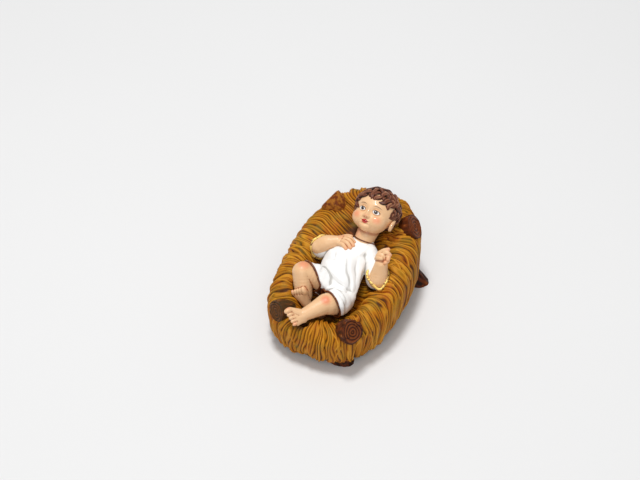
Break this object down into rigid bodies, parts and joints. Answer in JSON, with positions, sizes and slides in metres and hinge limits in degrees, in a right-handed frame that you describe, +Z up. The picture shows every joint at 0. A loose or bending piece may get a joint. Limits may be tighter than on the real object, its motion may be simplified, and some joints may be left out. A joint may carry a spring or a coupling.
{
  "type": "nativity infant figurine in a straw manger",
  "caption": "Painted resin infant in a white gown, lying in a boat-shaped straw manger with sawn log ends and log feet.",
  "frame": {"origin": "on the ground under the middle of the whole object's box", "axes": "+Z up, +Y towards the figure's head, +X towards the figure's left"},
  "size_m": [0.054, 0.0788, 0.0477],
  "materials": {
    "crib": "satin hand-painted resin, ochre straw with brown wash and dark brown log ends",
    "baby": "satin hand-painted resin, skin tones, white gown and brown hair"
  },
  "bodies": {
    "root": {"crib": "crib", "baby": "baby"}
  },
  "joints": []
}
